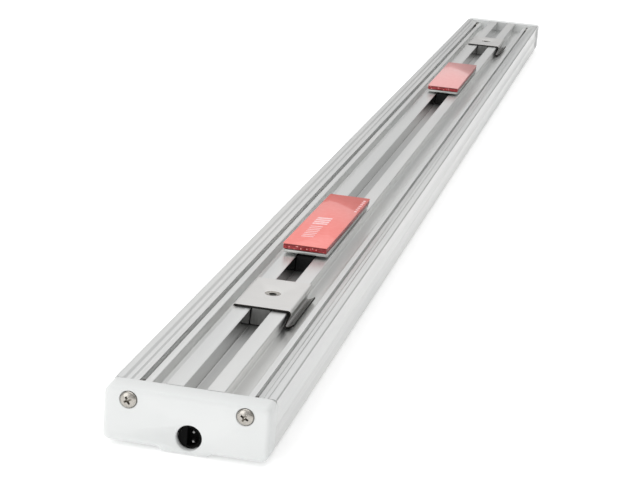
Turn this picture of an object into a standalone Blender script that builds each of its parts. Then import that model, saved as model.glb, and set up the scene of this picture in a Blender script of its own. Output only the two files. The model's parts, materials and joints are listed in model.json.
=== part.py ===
"""Slim linear LED light bar with an extruded aluminium housing, lying light face down.

X runs across the bar, Y along it with the power inlet at the -Y end, and Z up.  The origin is
under the middle of the bar, on the surface that the end caps' bulges stand on.  The back of the
housing faces up: it carries two spring clips and two adhesive pads that slide along its rail.
"""
import math

import bmesh
import bpy

MM = 0.001

# ---- driving dimensions -------------------------------------------------------------------
BAR_LENGTH = 900 * MM          # over the faces of both end caps
BAR_WIDTH = 54 * MM
BODY_HEIGHT = 18 * MM          # housing section, without the lens
LENS_DROP = 1.6 * MM           # bulge of the caps below the housing
CAP_THICKNESS = 9.2 * MM
CAP_PROUD = 0.35 * MM          # the caps stand this far out beyond the housing's sides
CAP_ROUND = 1.5 * MM           # rounding around each cap's outer face
CAP_CORNER_TOP = 1.6 * MM
CAP_CORNER_BASE = 2.3 * MM
SEAT_RADIUS = 2.95 * MM        # counterbore under each cap screw's head
SEAT_DEPTH = 0.9 * MM
GAP = 0.3 * MM                 # between neighbouring solids

RAIL_DEPTH = 6.4 * MM          # slot and side channels, below the top
SLOT_HALF = 3.8 * MM           # central slot at its mouth
SLOT_FLOOR_HALF = 4.2 * MM     # the slot is a shallow dovetail
LAND_HALF = 9.94 * MM          # outer edges of the two lands
NECK_HALF = 8.3 * MM           # the lands are undercut to this
SCREW_X = 19.15 * MM
SCREW_DROP = 3.7 * MM          # screw axis below the top
PORT_RADIUS = 1.45 * MM        # screw port
PORT_MOUTH_HALF = 1.15 * MM
MOUTH_HALF = 9.1 * MM          # light opening in the underside
CHAMBER_HALF = 12 * MM         # light chamber above the lens
CHAMBER_ROOF_DROP = 8.6 * MM   # below the top
FLUTE_DEPTH = 0.8 * MM         # hollows along both sides, with a ridge between them
RIDGE_DROP = 9.5 * MM
EDGE_ROUND = 0.9 * MM          # outer edges of the section

CLIP_LENGTH = 37 * MM
CLIP_SHEET = 0.6 * MM
CLIP_SINK_RADIUS = 3.1 * MM     # the countersink's rim and its foot
CLIP_SINK_FOOT = 1.7 * MM
CLIP_INSET = 108 * MM          # clip centre from its end of the housing
KEY_HOLE_RADIUS = 1.3 * MM     # blind screw hole in the key under each clip

PAD_LENGTH = 90.9 * MM
PAD_WIDTH = 18.4 * MM
CARRIER_SHEET = 1.8 * MM
FOAM_HEIGHT = 1.7 * MM
LINER_HEIGHT = 0.25 * MM
PAD_CENTRES = {"near": -229.4 * MM, "far": 158.6 * MM}

SOCKET_X = 1.3 * MM
SOCKET_HEIGHT = 4.3 * MM       # socket axis above the underside
SOCKET_HOLE_RADIUS = 4.25 * MM
SOCKET_RECESS = 1.5 * MM       # insert face behind the cap's face
SOCKET_DEPTH = 4.6 * MM
SOCKET_WELL_DEPTH = 3.1 * MM
SOCKET_WELL_RADIUS = 3.1 * MM
SOCKET_PIN_RADIUS = 0.55 * MM
LEAD_RADIUS = 0.6 * MM
SOCKET_PIN_X = 1.1 * MM        # pins from the socket's axis
SOCKET_PIN_Z = 1.58 * MM

BOARD_WIDTH = 20 * MM
BOARD_LENGTH = 875 * MM
LED_COUNT = 24
LED_PITCH = 36 * MM

# ---- derived sizes ------------------------------------------------------------------------
TOP = LENS_DROP + BODY_HEIGHT
HALF_WIDTH = BAR_WIDTH / 2
CAP_FACE = BAR_LENGTH / 2
CAP_BACK = CAP_FACE - CAP_THICKNESS
HOUSING_HALF = CAP_BACK - GAP
CEILING = TOP - CHAMBER_ROOF_DROP
SCREW_Z = TOP - SCREW_DROP
SOCKET_Z = LENS_DROP + SOCKET_HEIGHT
TAPE_TOP = CEILING - GAP
TAPE_HEIGHT = 0.5 * MM
BOARD_TOP = TAPE_TOP - TAPE_HEIGHT - GAP
BOARD_HEIGHT = 1.4 * MM
LED_TOP = BOARD_TOP - BOARD_HEIGHT - GAP
LED_SIZE = 5 * MM
LED_HEIGHT = 1.4 * MM
CARRIER_BOTTOM = TOP + GAP
FOAM_BOTTOM = CARRIER_BOTTOM + CARRIER_SHEET + GAP
LINER_BOTTOM = FOAM_BOTTOM + FOAM_HEIGHT + GAP
GASKET_RECESS = 1.6 * MM
GASKET_HALF = 25.3 * MM
GASKET_LOW = LENS_DROP + 1.5 * MM
GASKET_HIGH = TOP - 7.2 * MM
ENDS = {"near": -1, "far": 1}  # sign of each end's Y


# ---- scene and materials ------------------------------------------------------------------
def clear_scene():
    for old in list(bpy.data.objects):
        bpy.data.objects.remove(old, do_unlink=True)


def new_collection(name):
    made = bpy.data.collections.new(name)
    bpy.context.scene.collection.children.link(made)
    return made


def new_material(name, colour, roughness, metallic=0.0):
    made = bpy.data.materials.new(name)
    made.use_nodes = True
    shader = made.node_tree.nodes["Principled BSDF"]
    shader.inputs["Base Color"].default_value = (*colour, 1.0)
    shader.inputs["Roughness"].default_value = roughness
    shader.inputs["Metallic"].default_value = metallic
    made.diffuse_color = (*colour, 1.0)
    return made


clear_scene()
PARTS = new_collection("led_light_bar")
CUTTERS = new_collection("cutters")

ANODISED = new_material("anodised_aluminium", (0.68, 0.69, 0.70), 0.35, 1.0)
WHITE_PLASTIC = new_material("white_plastic", (0.86, 0.87, 0.87), 0.4)
BLACK_PLASTIC = new_material("black_plastic", (0.01, 0.01, 0.01), 0.45)
STAINLESS = new_material("stainless_steel", (0.72, 0.71, 0.69), 0.25, 1.0)
PIN_METAL = new_material("pin_metal", (0.62, 0.60, 0.56), 0.3, 1.0)
OPAL = new_material("opal_plastic", (0.92, 0.92, 0.90), 0.35)
BOARD_WHITE = new_material("board_white", (0.88, 0.88, 0.86), 0.5)
LED_PHOSPHOR = new_material("led_package", (0.9, 0.82, 0.45), 0.4)
GREY_RUBBER = new_material("grey_rubber", (0.42, 0.42, 0.41), 0.7)
GREY_PLASTIC = new_material("dark_grey_plastic", (0.07, 0.07, 0.07), 0.5)
BLACK_RUBBER = new_material("black_rubber", (0.008, 0.008, 0.008), 0.75)
RED_FOAM = new_material("red_foam", (0.33, 0.01, 0.015), 0.3)
RED_LINER = new_material("red_liner", (0.90, 0.30, 0.27), 0.35)
RED_WIRE = new_material("red_wire", (0.5, 0.02, 0.02), 0.4)
BLACK_WIRE = new_material("black_wire", (0.015, 0.015, 0.015), 0.4)


def place(obj, name, surface, collection=None):
    """Name an object, give it its material and keep it in one collection only."""
    obj.name = name
    obj.data.name = name
    for holder in list(obj.users_collection):
        holder.objects.unlink(obj)
    (collection or PARTS).objects.link(obj)
    if surface is not None:
        obj.data.materials.clear()
        obj.data.materials.append(surface)
    return obj


# ---- outlines -----------------------------------------------------------------------------
def arc(centre, radius, start, end, steps):
    """Points of a circular arc in a plane, angles in degrees."""
    points = []
    for i in range(steps + 1):
        angle = math.radians(start + (end - start) * i / steps)
        points.append((centre[0] + radius * math.cos(angle), centre[1] + radius * math.sin(angle)))
    return points


def mirrored(half):
    """Close a half outline that starts and ends near X = 0 with its mirror image."""
    return half + [(-x, z) for x, z in reversed(half)]


def flute(x, z_high, z_low, depth, steps):
    """A shallow hollow in a side face, from one ridge down to the next."""
    points = []
    for i in range(1, steps):
        t = i / steps
        points.append((x - depth * math.sin(math.pi * t), z_high + (z_low - z_high) * t))
    return points


def rounded_path(corners, radii, steps=5):
    """Points along straight runs with each inner corner rounded to its own radius."""
    points = [corners[0]]
    for before, corner, after, radius in zip(corners, corners[1:], corners[2:], radii):
        ax, az = before[0] - corner[0], before[1] - corner[1]
        bx, bz = after[0] - corner[0], after[1] - corner[1]
        la, lb = math.hypot(ax, az), math.hypot(bx, bz)
        ax, az, bx, bz = ax / la, az / la, bx / lb, bz / lb
        half_angle = math.acos(max(-1.0, min(1.0, ax * bx + az * bz))) / 2
        reach = radius / math.tan(half_angle)
        mx, mz = ax + bx, az + bz
        lm = math.hypot(mx, mz)
        to_centre = radius / math.sin(half_angle)
        cx, cz = corner[0] + mx / lm * to_centre, corner[1] + mz / lm * to_centre
        start = math.atan2(corner[1] + az * reach - cz, corner[0] + ax * reach - cx)
        end = math.atan2(corner[1] + bz * reach - cz, corner[0] + bx * reach - cx)
        sweep = (end - start + math.pi) % (2 * math.pi) - math.pi
        for i in range(steps + 1):
            angle = start + sweep * i / steps
            points.append((cx + radius * math.cos(angle), cz + radius * math.sin(angle)))
    points.append(corners[-1])
    return points


def thickened(path, thickness):
    """Outline of a sheet of even thickness that follows a path through its middle."""
    left, right = [], []
    for i, (x, z) in enumerate(path):
        x0, z0 = path[max(i - 1, 0)]
        x1, z1 = path[min(i + 1, len(path) - 1)]
        length = math.hypot(x1 - x0, z1 - z0)
        nx, nz = -(z1 - z0) / length, (x1 - x0) / length
        left.append((x + nx * thickness / 2, z + nz * thickness / 2))
        right.append((x - nx * thickness / 2, z - nz * thickness / 2))
    return left + right[::-1]


# ---- solids -------------------------------------------------------------------------------
def prism(name, outlines, half_length, y, surface):
    """A section in XZ, with its holes, drawn as a 2D curve and extruded along Y."""
    curve = bpy.data.curves.new(name, "CURVE")
    curve.dimensions = "2D"
    curve.fill_mode = "BOTH"
    curve.extrude = half_length
    for outline in outlines:
        spline = curve.splines.new("POLY")
        spline.points.add(len(outline) - 1)
        for point, (x, z) in zip(spline.points, outline):
            point.co = (x, z, 0.0, 1.0)
        spline.use_cyclic_u = True
    obj = bpy.data.objects.new(name, curve)
    obj.rotation_euler = (math.radians(90), 0.0, 0.0)
    obj.location = (0.0, y, 0.0)
    PARTS.objects.link(obj)
    return place(obj, name, surface)


def as_mesh(curve_obj):
    """Turn an evaluated curve into a welded mesh object of the same name and place."""
    bpy.context.view_layer.update()
    name = curve_obj.name
    surface = curve_obj.data.materials[0]
    evaluated = curve_obj.evaluated_get(bpy.context.evaluated_depsgraph_get())
    mesh = bpy.data.meshes.new_from_object(evaluated)
    work = bmesh.new()
    work.from_mesh(mesh)
    bmesh.ops.remove_doubles(work, verts=work.verts, dist=0.00001)
    bmesh.ops.recalc_face_normals(work, faces=work.faces)
    work.to_mesh(mesh)
    work.free()
    obj = bpy.data.objects.new(name, mesh)
    obj.matrix_world = curve_obj.matrix_world.copy()
    PARTS.objects.link(obj)
    bpy.data.objects.remove(curve_obj, do_unlink=True)
    return place(obj, name, surface)


def box(name, low, high, surface=None, collection=None):
    """A box between two corners, with its scale applied to the mesh."""
    bpy.ops.mesh.primitive_cube_add(size=1)
    obj = bpy.context.active_object
    for vertex in obj.data.vertices:
        for axis in range(3):
            span = high[axis] - low[axis]
            vertex.co[axis] = (low[axis] + high[axis]) / 2 + span * vertex.co[axis]
    return place(obj, name, surface, collection)


def rod(name, x, z, y_from, y_to, radius, surface=None, collection=None, end_radius=None, sides=32):
    """A cylinder or cone along Y, its first radius at y_from."""
    work = bmesh.new()
    bmesh.ops.create_cone(work, cap_ends=True, segments=sides, radius1=radius,
                          radius2=radius if end_radius is None else end_radius,
                          depth=y_to - y_from)
    mesh = bpy.data.meshes.new(name)
    work.to_mesh(mesh)
    work.free()
    obj = bpy.data.objects.new(name, mesh)
    obj.rotation_euler = (math.radians(-90), 0.0, 0.0)
    obj.location = (x, (y_from + y_to) / 2, z)
    PARTS.objects.link(obj)
    return place(obj, name, surface, collection)


def cutter(obj):
    obj.hide_render = True
    obj.display_type = "WIRE"
    return obj


def cut(target, tool, operation="DIFFERENCE"):
    change = target.modifiers.new(operation.lower() + "_" + tool.name, "BOOLEAN")
    change.operation = operation
    change.object = cutter(tool)
    change.solver = "EXACT"


def wire(name, points, radius, surface):
    """A short insulated lead along a smooth run of points."""
    curve = bpy.data.curves.new(name, "CURVE")
    curve.dimensions = "3D"
    curve.bevel_depth = radius
    curve.bevel_resolution = 2
    curve.use_fill_caps = True
    spline = curve.splines.new("POLY")
    spline.points.add(len(points) - 1)
    for point, place_at in zip(spline.points, points):
        point.co = (*place_at, 1.0)
    obj = bpy.data.objects.new(name, curve)
    PARTS.objects.link(obj)
    return place(obj, name, surface)


# ---- housing ------------------------------------------------------------------------------
def rail_half():
    """Top of the section from the slot's floor out to the screw port, for X > 0."""
    chamfer = 0.3 * MM
    flank_foot = TOP - 4.3 * MM
    floor = TOP - RAIL_DEPTH
    fillet = 0.4 * MM
    rib_half = 0.75 * MM
    rib_x = SCREW_X - PORT_MOUTH_HALF - rib_half
    rib_z = TOP - 2.8 * MM
    port_lift = math.sqrt(PORT_RADIUS ** 2 - PORT_MOUTH_HALF ** 2)
    port_angle = math.degrees(math.atan2(port_lift, PORT_MOUTH_HALF))
    points = [(SLOT_FLOOR_HALF, floor), (SLOT_HALF, TOP - chamfer), (SLOT_HALF + chamfer, TOP)]
    points += [(LAND_HALF - chamfer, TOP), (LAND_HALF, TOP - chamfer)]
    points += [(NECK_HALF, flank_foot), (NECK_HALF, floor + fillet), (NECK_HALF + fillet, floor)]
    points += [(rib_x - rib_half - fillet, floor), (rib_x - rib_half, floor + fillet)]
    points += arc((rib_x, rib_z), rib_half, 180, 0, 8)
    points += arc((SCREW_X, SCREW_Z), PORT_RADIUS, 180 - port_angle, 360 + port_angle, 14)
    return points


def rim_half():
    """Stepped rim from the screw port out to the top corner, then the fluted side."""
    inner = SCREW_X + PORT_MOUTH_HALF
    corner = EDGE_ROUND
    ridge = TOP - RIDGE_DROP
    points = [(inner, TOP - 1.9 * MM), (inner + 0.3 * MM, TOP - 1.6 * MM)]
    points += [(21.8 * MM, TOP - 1.4 * MM), (22.0 * MM, TOP - 0.8 * MM)]
    points += [(23.7 * MM, TOP - 0.6 * MM), (23.9 * MM, TOP - 0.1 * MM), (24.2 * MM, TOP)]
    points += arc((HALF_WIDTH - corner, TOP - corner), corner, 90, 0, 5)
    points += flute(HALF_WIDTH, TOP - corner, ridge, FLUTE_DEPTH, 8) + [(HALF_WIDTH, ridge)]
    points += flute(HALF_WIDTH, ridge, LENS_DROP + corner, FLUTE_DEPTH, 8)
    points += arc((HALF_WIDTH - corner, LENS_DROP + corner), corner, 0, -90, 5)
    return points


def light_chamber_half():
    """Underside from its corner to the lens mouth, the lens groove and the light chamber."""
    groove = MOUTH_HALF + 0.9 * MM
    base = LENS_DROP
    points = [(MOUTH_HALF + 0.3 * MM, base), (MOUTH_HALF, base + 0.3 * MM)]
    points += [(MOUTH_HALF, base + 1.6 * MM), (groove, base + 1.9 * MM), (groove, base + 3.1 * MM)]
    points += [(MOUTH_HALF, base + 3.4 * MM), (MOUTH_HALF, base + 3.8 * MM)]
    points += [(CHAMBER_HALF, base + 4.6 * MM), (CHAMBER_HALF, CEILING)]
    return points


def hollow_half(side):
    """The hollow beside the light chamber, open at both ends of the housing."""
    inner, outer = CHAMBER_HALF + 2 * MM, HALF_WIDTH - 2.1 * MM
    low, high = LENS_DROP + 1.8 * MM, CEILING
    points = [(inner, low), (outer - 1 * MM, low), (outer, low + 1 * MM), (outer, TOP - 4.2 * MM)]
    points += [(outer - 2.2 * MM, TOP - 4.2 * MM), (outer - 3.9 * MM, high), (inner, high)]
    return [(side * x, z) for x, z in points]


def make_housing():
    outline = mirrored(rail_half() + rim_half() + light_chamber_half())
    sections = [outline, hollow_half(1), hollow_half(-1)]
    return prism("housing_extrusion", sections, HOUSING_HALF, 0.0, ANODISED)


# ---- end caps, gaskets and screws ---------------------------------------------------------
def cap_outline(shrink):
    """Cap face with a tapered bulge under its middle; shrink goes from 0 to 1 at its front."""
    inset = CAP_ROUND * shrink
    side = HALF_WIDTH + CAP_PROUD - inset
    high, low = TOP - inset, LENS_DROP - CAP_PROUD + inset
    bulge_root, bulge_tip = 9.2 * MM - inset, 7.6 * MM - inset
    half = arc((side - CAP_CORNER_TOP, high - CAP_CORNER_TOP), CAP_CORNER_TOP, 90, 0, 5)
    half += arc((side - CAP_CORNER_BASE, low + CAP_CORNER_BASE), CAP_CORNER_BASE, 0, -90, 6)
    half += [(bulge_root, low), (bulge_tip + 0.3 * MM, 0.2 * MM + inset)]
    half += [(bulge_tip, inset)]
    return mirrored(half)


def ringed(name, rings, surface):
    """A closed body through outlines of equal count, each in XZ at its own Y."""
    work = bmesh.new()
    loops = []
    for y, outline in rings:
        loops.append([work.verts.new((x, y, z)) for x, z in outline])
    count = len(loops[0])
    for first, second in zip(loops, loops[1:]):
        for i in range(count):
            j = (i + 1) % count
            work.faces.new((first[i], first[j], second[j], second[i]))
    work.faces.new(loops[0])
    work.faces.new(loops[-1])
    bmesh.ops.recalc_face_normals(work, faces=work.faces)
    mesh = bpy.data.meshes.new(name)
    work.to_mesh(mesh)
    work.free()
    obj = bpy.data.objects.new(name, mesh)
    PARTS.objects.link(obj)
    return place(obj, name, surface)


def make_end_cap(end):
    side = ENDS[end]
    rings = [(side * CAP_BACK, cap_outline(0.0))]
    for i in range(5):
        angle = math.radians(90 * i / 4)
        forward = CAP_FACE - CAP_ROUND * (1 - math.sin(angle))
        rings.append((side * forward, cap_outline(1 - math.cos(angle))))
    cap = ringed("end_cap_" + end, rings, WHITE_PLASTIC)

    def depth_box(name, x_low, x_high, z_low, z_high, depth):
        """A cutter that opens at the cap's back and goes to a depth from it."""
        ys = sorted((side * (CAP_BACK - 1 * MM), side * (CAP_BACK + depth)))
        return box("cut_" + end + "_" + name, (x_low, ys[0], z_low), (x_high, ys[1], z_high),
                   None, CUTTERS)

    cut(cap, depth_box("recess", -GASKET_HALF - GAP, GASKET_HALF + GAP, GASKET_LOW - GAP,
                       GASKET_HIGH + GAP, GASKET_RECESS))
    cut(cap, depth_box("pocket", -14.5 * MM, 14.5 * MM, GASKET_LOW, GASKET_HIGH, 5.2 * MM))
    for name, x in (("left", -SCREW_X), ("right", SCREW_X)):
        ys = sorted((side * (CAP_FACE + 1 * MM), side * (CAP_BACK - 1 * MM)))
        cut(cap, rod("cut_" + end + "_screw_" + name, x, SCREW_Z, ys[0], ys[1], 1.6 * MM,
                     None, CUTTERS, sides=20))
        ys = sorted((side * (CAP_FACE + 1 * MM), side * (CAP_FACE - SEAT_DEPTH)))
        cut(cap, rod("cut_" + end + "_seat_" + name, x, SCREW_Z, ys[0], ys[1], SEAT_RADIUS,
                     None, CUTTERS))
    if end == "near":
        cut(cap, depth_box("flange", SOCKET_X - 6.4 * MM, SOCKET_X + 6.4 * MM,
                           LENS_DROP - 0.3 * MM, GASKET_HIGH, 5.2 * MM))
        cut(cap, rod("cut_near_socket", SOCKET_X, SOCKET_Z, -CAP_FACE - 1 * MM,
                     -CAP_BACK - 4.5 * MM, SOCKET_HOLE_RADIUS, None, CUTTERS))
    return cap


def make_gasket(end):
    """An arch of sheet rubber that seals the section below the rail."""
    side = ENDS[end]
    ys = sorted((side * (CAP_BACK + GAP), side * (CAP_BACK + GASKET_RECESS - GAP)))
    gasket = box("end_gasket_" + end, (-GASKET_HALF, ys[0], GASKET_LOW),
                 (GASKET_HALF, ys[1], GASKET_HIGH), GREY_RUBBER)
    cut(gasket, box("cut_gasket_window_" + end, (-CHAMBER_HALF - 1 * MM, ys[0] - 1 * MM,
                                                 GASKET_LOW - 1 * MM),
                    (CHAMBER_HALF + 1 * MM, ys[1] + 1 * MM, GASKET_HIGH - 1.2 * MM),
                    None, CUTTERS))
    return gasket


def make_cap_screw(end, name, x):
    """Domed pan head screw with a cross recess, its axis along Y."""
    side = ENDS[end]
    head_radius, head_height = 2.75 * MM, 1.75 * MM
    shank_radius, shank_length = 1.15 * MM, 18 * MM
    seat = CAP_FACE - SEAT_DEPTH + GAP
    dome = arc((0.0, -1.1 * MM), 2.85 * MM, 90, 30, 6)
    profile = [(radius, height) for radius, height in dome if radius < head_radius - 0.2 * MM]
    profile[0] = (0.0, head_height)
    profile += [(head_radius, 0.45 * MM), (head_radius - 0.1 * MM, 0.0), (shank_radius, 0.0)]
    profile += [(shank_radius, -shank_length + 1 * MM), (0.6 * MM, -shank_length)]
    profile += [(0.0, -shank_length)]
    mesh = bpy.data.meshes.new("cap_screw")
    mesh.from_pydata([(r, 0.0, h) for r, h in profile],
                     [(i, i + 1) for i in range(len(profile) - 1)], [])
    screw = bpy.data.objects.new("cap_screw", mesh)
    screw.rotation_euler = (math.radians(-90 * side), 0.0, 0.0)
    screw.location = (x, side * seat, SCREW_Z)
    PARTS.objects.link(screw)
    place(screw, "cap_screw_" + end + "_" + name, STAINLESS)
    turn = screw.modifiers.new("turn", "SCREW")
    turn.steps = 20
    turn.render_steps = 20
    turn.use_merge_vertices = True
    turn.merge_threshold = 0.00001
    floor = seat + head_height - 1.0 * MM
    ys = sorted((side * floor, side * (CAP_FACE + 4 * MM)))
    slot, reach = 0.35 * MM, 1.25 * MM
    for suffix, dx, dz in (("a", slot, reach), ("b", reach, slot)):
        cut(screw, box("cut_cross_" + end + "_" + name + "_" + suffix,
                       (x - dx, ys[0], SCREW_Z - dz), (x + dx, ys[1], SCREW_Z + dz),
                       None, CUTTERS))
    return screw


# ---- power inlet --------------------------------------------------------------------------
def make_power_inlet():
    face = -CAP_FACE + SOCKET_RECESS
    back = face + SOCKET_DEPTH
    floor = face + SOCKET_WELL_DEPTH
    body = rod("power_socket_body", SOCKET_X, SOCKET_Z, face, back, SOCKET_HOLE_RADIUS - GAP,
               BLACK_PLASTIC)
    flange_from = -CAP_FACE + 4.0 * MM + GAP
    cut(body, box("add_socket_flange",
                  (SOCKET_X - 6 * MM, flange_from, SOCKET_Z - 3.9 * MM),
                  (SOCKET_X + 6 * MM, flange_from + 1.4 * MM, SOCKET_Z + 3.9 * MM),
                  None, CUTTERS), "UNION")
    cavity = rod("cut_socket_cavity", SOCKET_X, SOCKET_Z, face - 1 * MM, floor,
                 SOCKET_WELL_RADIUS, None, CUTTERS)
    cut(cavity, box("cut_socket_key", (SOCKET_X - 4 * MM, face - 2 * MM, SOCKET_Z - 4 * MM),
                    (SOCKET_X - 1.0 * MM, floor + 1 * MM, SOCKET_Z + 4 * MM), None, CUTTERS))
    cut(body, cavity)
    tail = -CAP_FACE + 7.0 * MM
    for name, side in (("upper", 1), ("lower", -1)):
        x, z = SOCKET_X + SOCKET_PIN_X, SOCKET_Z + side * SOCKET_PIN_Z
        cut(body, rod("cut_pin_" + name, x, z, floor - 1 * MM, back + 2 * MM,
                      SOCKET_PIN_RADIUS + GAP, None, CUTTERS, sides=16))
        pin = rod("socket_pin_" + name, x, z, -CAP_FACE + 2.0 * MM, tail,
                  SOCKET_PIN_RADIUS, PIN_METAL, sides=16)
        pin.data.shade_smooth()
        pin.data.set_sharp_from_angle(angle=math.radians(40))
    lead_z = LED_TOP - 0.7 * MM
    x = SOCKET_X + SOCKET_PIN_X
    start = tail + GAP
    wire("lead_positive",
         [(x, start, SOCKET_Z + SOCKET_PIN_Z), (x, start + 1 * MM, SOCKET_Z + SOCKET_PIN_Z),
          (x + 0.6 * MM, -CAP_BACK + 4 * MM, lead_z), (x + 0.9 * MM, -CAP_BACK + 9 * MM, lead_z)],
         LEAD_RADIUS, RED_WIRE)
    wire("lead_negative",
         [(x, start, SOCKET_Z - SOCKET_PIN_Z), (x, start + 1 * MM, SOCKET_Z - SOCKET_PIN_Z),
          (x - 2.0 * MM, -CAP_BACK + 1 * MM, SOCKET_Z + 0.2 * MM),
          (x - 3.6 * MM, -CAP_BACK + 4 * MM, lead_z), (x - 3.6 * MM, -CAP_BACK + 9 * MM, lead_z)],
         LEAD_RADIUS, BLACK_WIRE)


# ---- light engine -------------------------------------------------------------------------
def make_lens():
    """Opal lens: a flat face with tapered flanks and a bead that snaps into the housing."""
    side, bead = MOUTH_HALF - GAP, MOUTH_HALF + 0.6 * MM
    base = LENS_DROP
    half = [(7.4 * MM, 0.2 * MM), (side, base + 0.1 * MM), (side, base + 1.8 * MM)]
    half += [(bead, base + 2.2 * MM), (bead, base + 2.8 * MM), (side, base + 3.4 * MM)]
    half += [(7.5 * MM, base + 3.4 * MM), (7.5 * MM, base + 0.9 * MM), (6.7 * MM, base + 0.2 * MM)]
    return prism("diffuser_lens", [mirrored(half)], HOUSING_HALF, 0.0, OPAL)


def make_light_engine():
    half_board = BOARD_LENGTH / 2
    half_width = BOARD_WIDTH / 2
    box("thermal_tape", (-half_width, -half_board, TAPE_TOP - TAPE_HEIGHT),
        (half_width, half_board, TAPE_TOP), GREY_RUBBER)
    box("led_board", (-half_width, -half_board, BOARD_TOP - BOARD_HEIGHT),
        (half_width, half_board, BOARD_TOP), BOARD_WHITE)
    for i in range(LED_COUNT):
        y = (i - (LED_COUNT - 1) / 2) * LED_PITCH
        box("led_%02d" % (i + 1), (-LED_SIZE / 2, y - LED_SIZE / 2, LED_TOP - LED_HEIGHT),
            (LED_SIZE / 2, y + LED_SIZE / 2, LED_TOP), LED_PHOSPHOR)


# ---- clips and pads on the rail -----------------------------------------------------------
def clip_path():
    """Middle of the clip's sheet: hook, plate, inward flank and turned-up release lip."""
    plate = TOP + GAP + CLIP_SHEET / 2
    corners = [(-9.15 * MM, TOP - 4.75 * MM), (-11.1 * MM, plate), (11.35 * MM, plate),
               (9.1 * MM, TOP - 5.5 * MM), (11.4 * MM, TOP - 5.5 * MM),
               (13.4 * MM, TOP - 4.5 * MM)]
    return rounded_path(corners, [0.9 * MM, 0.9 * MM, 0.75 * MM, 1.5 * MM])


def upright(name, y, z_low, z_high, radius_low, radius_high):
    """A cutter that stands on the bar's middle plane: a cylinder or a cone along Z."""
    work = bmesh.new()
    bmesh.ops.create_cone(work, cap_ends=True, segments=32, radius1=radius_low,
                          radius2=radius_high, depth=z_high - z_low)
    mesh = bpy.data.meshes.new(name)
    work.to_mesh(mesh)
    work.free()
    tool = bpy.data.objects.new(name, mesh)
    tool.location = (0.0, y, (z_low + z_high) / 2)
    PARTS.objects.link(tool)
    return place(tool, name, None, CUTTERS)


def make_slot_key(name, length, y, surface):
    """A bar of the slot's own shape, which guides a clip or a pad along the rail."""
    half = [(SLOT_HALF - 0.4 * MM, TOP), (SLOT_FLOOR_HALF - 0.4 * MM, TOP - RAIL_DEPTH + GAP)]
    return prism(name, [mirrored(half)], length / 2, y, surface)


def make_clip(end):
    """Spring clip with a countersunk hole over a key with a blind screw hole."""
    y = ENDS[end] * (HOUSING_HALF - CLIP_INSET)
    clip = as_mesh(prism("mounting_clip_" + end, [thickened(clip_path(), CLIP_SHEET)],
                         CLIP_LENGTH / 2, y, STAINLESS))
    clip.data.shade_smooth()
    clip.data.set_sharp_from_angle(angle=math.radians(35))
    top = TOP + GAP + CLIP_SHEET + 0.01 * MM
    cut(clip, upright("cut_clip_sink_" + end, y, TOP, top, CLIP_SINK_FOOT, CLIP_SINK_RADIUS))
    key = as_mesh(make_slot_key("clip_slot_key_" + end, CLIP_LENGTH, y, GREY_PLASTIC))
    cut(key, upright("cut_key_hole_" + end, y, TOP - 5 * MM, TOP + 1 * MM, KEY_HOLE_RADIUS,
                     KEY_HOLE_RADIUS))
    return clip


def make_pad(name, y):
    """Adhesive pad: carrier plate with a key in the slot, foam tape and its release liner."""
    half_x, half_y = PAD_WIDTH / 2, PAD_LENGTH / 2
    make_slot_key("pad_slot_key_" + name, PAD_LENGTH, y, BLACK_RUBBER)
    layers = (("pad_carrier_", CARRIER_BOTTOM, CARRIER_SHEET, 0.0, ANODISED),
              ("pad_foam_tape_", FOAM_BOTTOM, FOAM_HEIGHT, 0.2 * MM, RED_FOAM),
              ("pad_release_liner_", LINER_BOTTOM, LINER_HEIGHT, 0.0, RED_LINER))
    for prefix, z, height, inset, surface in layers:
        box(prefix + name, (-half_x + inset, y - half_y + inset, z),
            (half_x - inset, y + half_y - inset, z + height), surface)


def build():
    make_housing()
    make_lens()
    make_light_engine()
    for end in ENDS:
        make_end_cap(end)
        make_gasket(end)
        make_cap_screw(end, "left", -SCREW_X)
        make_cap_screw(end, "right", SCREW_X)
        make_clip(end)
        make_pad(end, PAD_CENTRES[end])
    make_power_inlet()


build()
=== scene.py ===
"""Looks for a slim linear LED light bar that lies light face down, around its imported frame.

Everything is in metres in the frame's axes: X across the bar, Y along it away from the power
inlet, Z up out of the back, where the rail, clips and adhesive pads are.
"""

import json
import math
import random

import bmesh
import bpy
from mathutils import Matrix, Vector

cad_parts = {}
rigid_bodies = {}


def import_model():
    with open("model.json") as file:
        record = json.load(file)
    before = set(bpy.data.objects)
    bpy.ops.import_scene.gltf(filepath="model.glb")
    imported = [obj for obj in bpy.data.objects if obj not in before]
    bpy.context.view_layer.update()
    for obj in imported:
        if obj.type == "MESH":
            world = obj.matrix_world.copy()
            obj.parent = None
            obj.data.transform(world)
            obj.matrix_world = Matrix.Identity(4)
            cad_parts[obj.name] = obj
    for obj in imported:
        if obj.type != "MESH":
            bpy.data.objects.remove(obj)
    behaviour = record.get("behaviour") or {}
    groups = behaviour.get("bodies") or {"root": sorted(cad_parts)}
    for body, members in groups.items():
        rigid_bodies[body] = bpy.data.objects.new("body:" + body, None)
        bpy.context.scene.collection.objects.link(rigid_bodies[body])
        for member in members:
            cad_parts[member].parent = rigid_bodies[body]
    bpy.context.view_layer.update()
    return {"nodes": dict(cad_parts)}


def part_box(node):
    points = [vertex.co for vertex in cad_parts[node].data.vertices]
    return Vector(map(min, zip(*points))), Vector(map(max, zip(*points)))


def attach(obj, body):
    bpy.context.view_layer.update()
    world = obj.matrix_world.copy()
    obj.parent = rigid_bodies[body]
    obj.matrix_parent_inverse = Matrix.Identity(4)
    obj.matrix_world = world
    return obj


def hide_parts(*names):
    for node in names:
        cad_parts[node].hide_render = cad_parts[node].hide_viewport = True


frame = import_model()
MM = 0.001

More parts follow.
